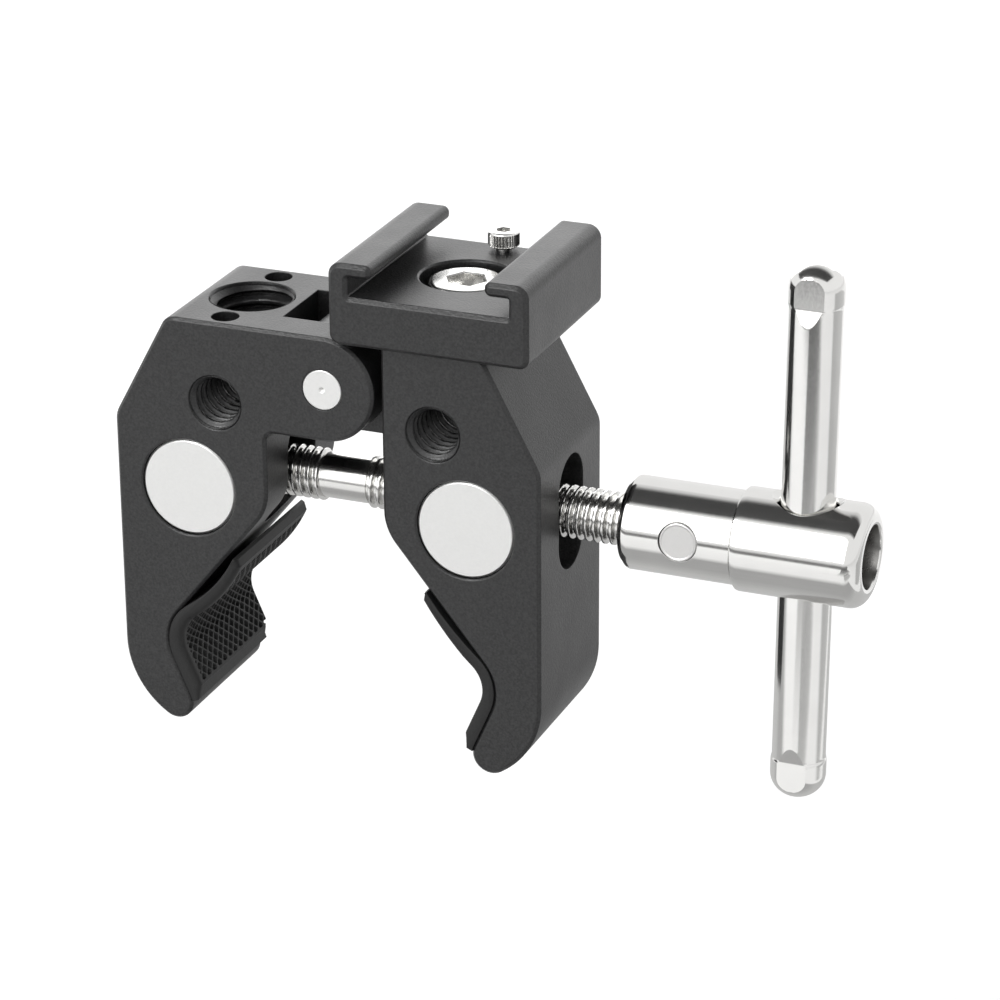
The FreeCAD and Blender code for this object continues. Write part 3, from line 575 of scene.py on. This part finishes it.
SOCKET_AROUND = 180
SOCKET_RIM_SPREAD = 1.07
SOCKET_RIM_DEPTH = 0.07
SOCKET_POINT = 0.2
SOCKET_POINT_RADIUS = 0.05
SHOE_FLOOR_TOP = 45.2
SHOE_SCREW_FOOT = SHOE_FLOOR_TOP - 3.85


def hexagon(turn, across):
    """Radius of a hexagon at an angle, from its width across flats."""
    third = math.pi / 3.0
    return (across / 2.0) / np.cos((turn % third) - third / 2.0)


def socket_screw(name, x, y, base, rows, across, depth, flutes, node_name):
    """A turned screw on Z. Each row is a height, a radius and how far the flutes cut in there."""
    turn = np.linspace(0.0, 2.0 * math.pi, SOCKET_AROUND, endpoint=False)
    wave = 0.5 - 0.5 * np.cos(turn * flutes) if flutes else 0.0
    levels = [(height, radius - cut * wave) for height, radius, cut in rows]
    top = rows[-1][0]
    key = hexagon(turn, across)
    levels += [(top, key * SOCKET_RIM_SPREAD), (top - SOCKET_RIM_DEPTH * across / 2.0, key),
               (top - depth, key),
               (top - depth - SOCKET_POINT * across, np.full_like(turn, SOCKET_POINT_RADIUS))]
    rings = []
    for height, radius in levels:
        radius = np.broadcast_to(radius, turn.shape)
        rings.append(np.stack([x + radius * np.cos(turn), y + radius * np.sin(turn),
                               np.full_like(turn, base + height)], axis=-1))
    piece(name, rings, SMALL_STEEL, "right_jaw", node_name, 30.0)


socket_screw(
    "shoe_socket_screw", 13.5, 0.0, SHOE_SCREW_FOOT,
    [(-7.8, 2.1, 0), (-7.4, 2.5, 0), (-0.01, 2.5, 0), (0.0, 4.25, 0), (3.0, 4.25, 0),
     (3.15, 4.23, 0), (3.3, 4.15, 0), (3.42, 4.01, 0), (3.48, 3.85, 0), (3.5, 3.7, 0)],
    across=4.0, depth=2.0, flutes=0, node_name="shoe_screw")
socket_screw(
    "knurled_stop_screw", 14.0, 9.7, SHOE_FLOOR_TOP,
    [(-4.0, 0.95, 0), (0.39, 0.95, 0), (0.4, 1.5, 0), (0.62, 1.78, 0), (0.66, 1.8, 0.2),
     (2.0, 1.8, 0.2), (2.04, 1.79, 0), (2.18, 1.72, 0), (2.27, 1.58, 0), (2.3, 1.42, 0)],
    across=1.5, depth=1.0, flutes=30, node_name="shoe_stop_screw")


# The sliding bar, with round ends and squeezed flats

BAR_HALF = 31.12
BAR_RADIUS = 3.0
BAR_SWELL = 0.12
BAR_END_ROUND = 2.85
BAR_FLAT_START = BAR_HALF - 4.8
BAR_FLAT_DEPTH = 0.37
BAR_FLAT_RISE = 0.1
BAR_RUNOUT = 2.4
BAR_SWAGE_START = BAR_HALF - 4.45
BAR_SWAGE_RUN = 0.6
BAR_LEAN = math.radians(2.1)
BAR_SHIFT = 1.5
BAR_REACH = 53.3
BAR_SIDE_POINTS = 33
BAR_FLAT_POINTS = 13
BAR_EDGE_LIMIT = math.sin(math.radians(80.0))
BAR_MIDDLE_STEPS = [0.0, 6.0, 12.0, 18.0, 22.0]
BAR_STEP = 0.1
BAR_LEAD_IN = 0.4
BAR_END_GAP = 0.05
BAR_END_ANGLES = np.arange(0.0, 90.1, 4.5)


def bar_radius(along):
    """The bar's radius at a distance from its middle."""
    along = abs(along)
    swell = BAR_SWELL * float(smooth_step((along - BAR_SWAGE_START + BAR_SWAGE_RUN) / BAR_SWAGE_RUN))
    into = max(along - (BAR_HALF - BAR_END_ROUND), 0.0) / BAR_END_ROUND
    return (BAR_RADIUS + swell) * math.sqrt(max(1.0 - into * into, 1e-4))


def bar_rings():
    end = [BAR_HALF - BAR_END_ROUND * (1.0 - math.sin(math.radians(a))) for a in BAR_END_ANGLES]
    flats = list(np.arange(BAR_FLAT_START - BAR_RUNOUT - BAR_LEAD_IN,
                           BAR_HALF - BAR_END_ROUND - BAR_END_GAP, BAR_STEP))
    half = BAR_MIDDLE_STEPS + flats + end
    steps = [-s for s in half[:0:-1]] + half
    rings = []
    for t in steps:
        radius = bar_radius(t)
        slope = (abs(t) - (BAR_FLAT_START - BAR_RUNOUT)) / BAR_RUNOUT
        slope = min(max(slope, 0.0), 1.0)
        level = BAR_RADIUS + BAR_FLAT_RISE - (BAR_FLAT_DEPTH + BAR_FLAT_RISE) * slope
        edge = math.asin(min(level / radius, BAR_EDGE_LIMIT))
        side = np.linspace(-edge, edge, BAR_SIDE_POINTS)
        flat = np.linspace(edge, math.pi - edge, BAR_FLAT_POINTS)[1:-1]
        turn = np.concatenate([side, flat, side + math.pi, flat + math.pi])
        x = radius * np.cos(turn)
        y = np.clip(radius * np.sin(turn), -level, level)
        z = t + BAR_SHIFT
        across = y * math.cos(BAR_LEAN) + z * math.sin(BAR_LEAN)
        height = SCREW_HEIGHT - y * math.sin(BAR_LEAN) + z * math.cos(BAR_LEAN)
        rings.append(np.stack([x + BAR_REACH, across, height], axis=-1))
    return rings


piece("turned_bar", bar_rings(), BAR_STEEL, "t_bar", "t_bar", 12.0)


# The hub on the screw's end, with a tunnel for the bar and pockets for its pin

HUB_STEP = 46.1
HUB_END = 60.7
HUB_NECK_RADIUS = 5.3
HUB_BODY_RADIUS = 5.85
HUB_END_ROUND = 1.8
HUB_BORE_RADIUS = 3.55
HUB_BORE_DEPTH = 3.2
HUB_END_ANGLES = np.radians(np.arange(0.0, 90.1, 7.5))
HUB_AROUND, TUNNEL_AROUND, PIN_AROUND = 180, 128, 96
TUNNEL_RADIUS = 3.22
TUNNEL_MOUTH = 4.6
FLARE_STEP = 0.15
FLARE_GROWTH = 0.0125
FLARE_ROWS = 6
FLARE_OUTSIDE = 3.6
PIN_TURN = math.radians(6.0)
PIN_FACE = HUB_NECK_RADIUS - 0.13
PIN_RADIUS = 1.5
PIN_HEAD_RADIUS = 2.2
PIN_HEAD_FOOT = HUB_NECK_RADIUS - 1.05
PIN_SOFT_RIM = 0.06
POCKET_GAP = 0.05
POCKET_TOP = HUB_BODY_RADIUS + 1.0
AXIS = Vector((0.0, 0.0, SCREW_HEIGHT))
BAR_AXIS = Vector((0.0, math.sin(BAR_LEAN), math.cos(BAR_LEAN)))
PIN_AXIS = Vector((0.0, -math.cos(PIN_TURN), math.sin(PIN_TURN)))


def hub_rows():
    """The hub's outline, from the bottom of the screw's bore round to the bottom of the end's bore."""
    rows = [(SCREW_END + PLAIN_END_GAP, SCREW_RADIUS), (HUB_START, SCREW_RADIUS),
            (HUB_START, HUB_NECK_RADIUS - 0.6), (HUB_START + 0.12, HUB_NECK_RADIUS - 0.52),
            (HUB_START + 0.5, HUB_NECK_RADIUS - 0.1), (HUB_START + 0.7, HUB_NECK_RADIUS)]
    rows += [(x, HUB_NECK_RADIUS) for x in np.arange(HUB_START + 1.2, HUB_STEP - 0.3, 0.6)]
    rows += [(HUB_STEP, HUB_NECK_RADIUS), (HUB_STEP, HUB_BODY_RADIUS - 0.32),
             (HUB_STEP + 0.04, HUB_BODY_RADIUS - 0.22), (HUB_STEP + 0.2, HUB_BODY_RADIUS - 0.05),
             (HUB_STEP + 0.4, HUB_BODY_RADIUS)]
    body = np.arange(HUB_STEP + 0.9, HUB_END - HUB_END_ROUND - 0.2, 0.5)
    rows += [(x, HUB_BODY_RADIUS) for x in body]
    for angle in HUB_END_ANGLES:
        rows.append((HUB_END - HUB_END_ROUND * (1.0 - math.sin(angle)),
                     HUB_BODY_RADIUS - HUB_END_ROUND * (1.0 - math.cos(angle))))
    rows += [(HUB_END, HUB_BORE_RADIUS + 0.2), (HUB_END - 0.05, HUB_BORE_RADIUS + 0.07),
             (HUB_END - 0.2, HUB_BORE_RADIUS), (HUB_END - HUB_BORE_DEPTH, HUB_BORE_RADIUS)]
    return rows


def mirrored(half):
    """Rows of one half of an outline, and the same rows on its other side."""
    return [(-along, radius) for along, radius in half[::-1]] + half


def tunnel_rows():
    """The tunnel's outline, which flares at both mouths."""
    flare = [(TUNNEL_MOUTH + FLARE_STEP * i, TUNNEL_RADIUS + FLARE_GROWTH * i * i)
             for i in range(FLARE_ROWS)]
    last = flare[-1]
    flare.append((last[0] + FLARE_OUTSIDE, last[1] + FLARE_OUTSIDE))
    return mirrored(flare)


def pin_rows(face, gap):
    """The outline of the pin, with a soft rim on its flat heads, or of its pockets where gap is above 0."""
    head = PIN_HEAD_RADIUS + gap
    rim = 0.0 if gap else PIN_SOFT_RIM
    half = [(PIN_HEAD_FOOT - gap, PIN_RADIUS + gap / 2.0), (PIN_HEAD_FOOT - gap, head),
            (face - 3.0 * rim, head)]
    if rim:
        half += [(face - rim, head - 0.05), (face, head - 0.14), (face, head - 0.26),
                 (face - rim, head - 0.34), (face - rim, 0.2)]
    else:
        half.append((face, head))
    return mirrored(half)


BAR_MIDDLE = AXIS + ALONG_X * BAR_REACH
PIN_MIDDLE = AXIS + ALONG_X * PIN_REACH
hub = ring_mesh("hub", lathe_rings(AXIS, ALONG_X, UP, hub_rows(), HUB_AROUND))
tunnel = ring_mesh("tunnel", lathe_rings(BAR_MIDDLE, BAR_AXIS, ALONG_X, tunnel_rows(), TUNNEL_AROUND))
pocket_rings = lathe_rings(PIN_MIDDLE, PIN_AXIS, ALONG_X, pin_rows(POCKET_TOP, POCKET_GAP), PIN_AROUND)
turned_hub = placed("turned_hub", carved(hub, [tunnel, ring_mesh("pockets", pocket_rings)]), HUB_STEEL,
                    "screw", "handle_hub", 32.0)
# Painted shade: the faces inside the end's bore take the darker bore steel
turned_hub.data.materials.append(BORE_SHADE_STEEL)
for face in turned_hub.data.polygons:
    centre = face.center / MM
    if centre.x > HUB_END - HUB_BORE_DEPTH - 0.1:
        if math.hypot(centre.y, centre.z - SCREW_HEIGHT) < HUB_BORE_RADIUS + 0.01:
            face.material_index = 1
pin_rings = lathe_rings(PIN_MIDDLE, PIN_AXIS, ALONG_X, pin_rows(PIN_FACE, 0.0), PIN_AROUND)
piece("flat_headed_pin", pin_rings, CROSS_STEEL, "screw", "hub_cross_pin", 24.0)


# Floor, nets, lamps and world

FLAT = (0.0, 0.0, 0.0)
UPRIGHT = (math.pi / 2.0, 0.0, 0.0)
FLOOR_SHARE = 0.40
NET_WEAVE_LOW = 0.96
WORLD_FILL = 0.45


def plane(name, centre, size, rotation, material):
    half_x, half_y = size[0] / 2.0, size[1] / 2.0
    mesh = bpy.data.meshes.new(name)
    corners = [(-half_x, -half_y, 0), (half_x, -half_y, 0), (half_x, half_y, 0), (-half_x, half_y, 0)]
    mesh.from_pydata(corners, [], [(0, 1, 2, 3)])
    mesh.materials.append(material)
    made = bpy.data.objects.new(name, mesh)
    made.location = centre
    made.rotation_euler = rotation
    bpy.context.scene.collection.objects.link(made)
    return made


def floor_material():
    """A pale floor that the camera and mirrors see as white, with its shadows kept."""
    made, shader = new_material("pale_floor", (0.8, 0.8, 0.8), 0.0, 0.9)
    cloud = noise(made, stretched(made, EVEN), 30.0, 2.0)
    join(made, tint(made, cloud, (0.79, 0.79, 0.79), (0.81, 0.81, 0.81)),
         shader.inputs["Base Color"])
    path = node(made, "ShaderNodeLightPath")
    seen = node(made, "ShaderNodeMath")
    seen.operation = "MAXIMUM"
    join(made, path.outputs["Is Camera Ray"], seen.inputs[0])
    join(made, path.outputs["Is Glossy Ray"], seen.inputs[1])
    share = node(made, "ShaderNodeMath")
    share.operation = "MULTIPLY"
    share.inputs[1].default_value = FLOOR_SHARE
    join(made, seen.outputs["Value"], share.inputs[0])
    shader.inputs["Emission Color"].default_value = (1.0, 1.0, 1.0, 1.0)
    join(made, share.outputs["Value"], shader.inputs["Emission Strength"])
    return made


def net_material(name, stops):
    """Black net whose density changes along its own Y, for soft edges in the reflections.

    Each stop is a place from 0 to 1 along the net and a density.
    """
    made, shader = new_material(name, (0.012, 0.012, 0.012), 0.0, 0.9)
    coords = node(made, "ShaderNodeTexCoord")
    apart = node(made, "ShaderNodeSeparateXYZ")
    join(made, coords.outputs["Generated"], apart.inputs["Vector"])
    ramp = node(made, "ShaderNodeValToRGB")
    for end in (0, -1):
        position, density = stops[end]
        ramp.color_ramp.elements[end].position = position
        ramp.color_ramp.elements[end].color = (density, density, density, 1.0)
    for position, density in stops[1:-1]:
        stop = ramp.color_ramp.elements.new(position)
        stop.color = (density, density, density, 1.0)
    join(made, apart.outputs["Y"], ramp.inputs["Fac"])
    weave = noise(made, coords.outputs["Generated"], 40.0, 2.0)
    density = node(made, "ShaderNodeMath")
    density.operation = "MULTIPLY"
    join(made, ramp.outputs["Color"], density.inputs[0])
    join(made, spread(made, weave, NET_WEAVE_LOW, 1.0), density.inputs[1])
    join(made, density.outputs["Value"], shader.inputs["Alpha"])
    return made


def net(name, centre, size, rotation, stops):
    """A net that only reflections see."""
    made = plane(name, centre, size, rotation, net_material(name, stops))
    made.visible_camera = False
    made.visible_diffuse = False
    made.visible_shadow = False
    return made


plane("floor", (0.0, 0.0, -0.085), (8.0, 8.0), FLAT, floor_material())
net("overhead_net", (-0.10, 0.066, 0.60), (1.6, 0.75), FLAT,
    [(0.0, 0.0), (0.05, 0.5), (0.13, 0.97), (0.60, 0.97), (0.66, 0.9), (0.80, 0.35), (1.0, 0.0)])
net("horizon_net", (-0.08, -0.28, -0.022), (0.60, 0.05), UPRIGHT,
    [(0.0, 0.0), (0.3, 0.85), (0.7, 0.85), (1.0, 0.0)])
# Painted shadow: a darker patch under the object, standing for its shadow on the floor as the mirrors see
# it
net("floor_net_painted_shadow", (-0.07, 0.04, -0.084), (0.46, 0.34), FLAT,
    [(0.0, 0.0), (0.06, 0.25), (0.11, 0.6), (0.3, 0.58), (0.45, 0.45), (1.0, 0.45)])
net("floor_net_right", (0.38, 0.17, -0.084), (0.36, 0.34), FLAT,
    [(0.0, 0.0), (0.12, 0.5), (1.0, 0.35)])
net("floor_net_front", (0.16, -0.375, -0.083), (0.33, 0.35), FLAT,
    [(0.0, 0.8), (0.5, 0.82), (0.66, 0.75), (0.85, 0.4), (1.0, 0.0)])
net("floor_net_low", (0.17, -0.19, -0.082), (0.15, 0.13), FLAT,
    [(0.0, 0.0), (0.2, 0.5), (0.8, 0.5), (1.0, 0.2)])


def lamp(name, place, target, size, power):
    """A rectangular lamp that faces a point."""
    light = bpy.data.lights.new(name, "AREA")
    light.shape = "RECTANGLE"
    light.size, light.size_y = size
    light.energy = power
    made = bpy.data.objects.new(name, light)
    made.location = place
    made.rotation_mode = "QUATERNION"
    made.rotation_quaternion = (Vector(target) - Vector(place)).to_track_quat("-Z", "Y")
    bpy.context.scene.collection.objects.link(made)
    return made


MIDDLE = (0.015, 0.0, 0.02)
back_lamp = lamp("back_softbox", (-0.32, 0.86, 0.44), MIDDLE, size=(1.7, 0.95), power=6.2)

# The back lamp leaves out the hub, whose top is white otherwise
unlit = bpy.data.collections.new("not_lit_from_behind")
unlit.objects.link(turned_hub)
unlit.collection_objects[0].light_linking.link_state = "EXCLUDE"
back_lamp.light_linking.receiver_collection = unlit

lamp("front_softbox", (-0.25, -0.70, 0.43), MIDDLE, size=(1.0, 0.86), power=3.8)
strip = lamp("edge_strip", (-0.24, -0.40, 0.52), MIDDLE, size=(0.34, 0.06), power=2.4)
strip.visible_diffuse = False

world = bpy.data.worlds.new("white_studio")
bpy.context.scene.world = world
world.use_nodes = True
tree = world.node_tree
background = tree.nodes["Background"]
background.inputs["Color"].default_value = (1.0, 1.0, 1.0, 1.0)
path = tree.nodes.new("ShaderNodeLightPath")
seen = tree.nodes.new("ShaderNodeMath")
seen.operation = "MAXIMUM"
tree.links.new(path.outputs["Is Camera Ray"], seen.inputs[0])
tree.links.new(path.outputs["Is Glossy Ray"], seen.inputs[1])
also = tree.nodes.new("ShaderNodeMath")
also.operation = "MAXIMUM"
tree.links.new(seen.outputs["Value"], also.inputs[0])
tree.links.new(path.outputs["Is Transmission Ray"], also.inputs[1])
strength = tree.nodes.new("ShaderNodeMapRange")
strength.inputs["To Min"].default_value = WORLD_FILL
strength.inputs["To Max"].default_value = 1.0
tree.links.new(also.outputs["Value"], strength.inputs["Value"])
tree.links.new(strength.outputs["Result"], background.inputs["Strength"])


# Camera, matched to the photograph

AZIMUTH, ELEVATION, ROLL = math.radians(22.259), math.radians(22.992), math.radians(-0.379)
TARGET = Vector((20.579, -9.4, 23.171)) * MM
DISTANCE = 424.253 * MM
back = Vector((math.sin(AZIMUTH) * math.cos(ELEVATION), -math.cos(AZIMUTH) * math.cos(ELEVATION),
               math.sin(ELEVATION)))
right = Vector((math.cos(AZIMUTH), math.sin(AZIMUTH), 0.0))
up = back.cross(right)
tilted_right = right * math.cos(ROLL) + up * math.sin(ROLL)
tilted_up = -right * math.sin(ROLL) + up * math.cos(ROLL)
lens = bpy.data.cameras.new("camera")
lens.sensor_width = 36.0
lens.lens = 139.806
lens.shift_x = 0.004589
lens.shift_y = 0.000779
lens.clip_start, lens.clip_end = 0.01, 20.0
camera = bpy.data.objects.new("camera", lens)
facing = Matrix((tilted_right, tilted_up, back)).transposed().to_4x4()
camera.matrix_world = Matrix.Translation(TARGET + back * DISTANCE) @ facing
bpy.context.scene.collection.objects.link(camera)
bpy.context.scene.camera = camera
bpy.context.scene.view_settings.view_transform = "Standard"
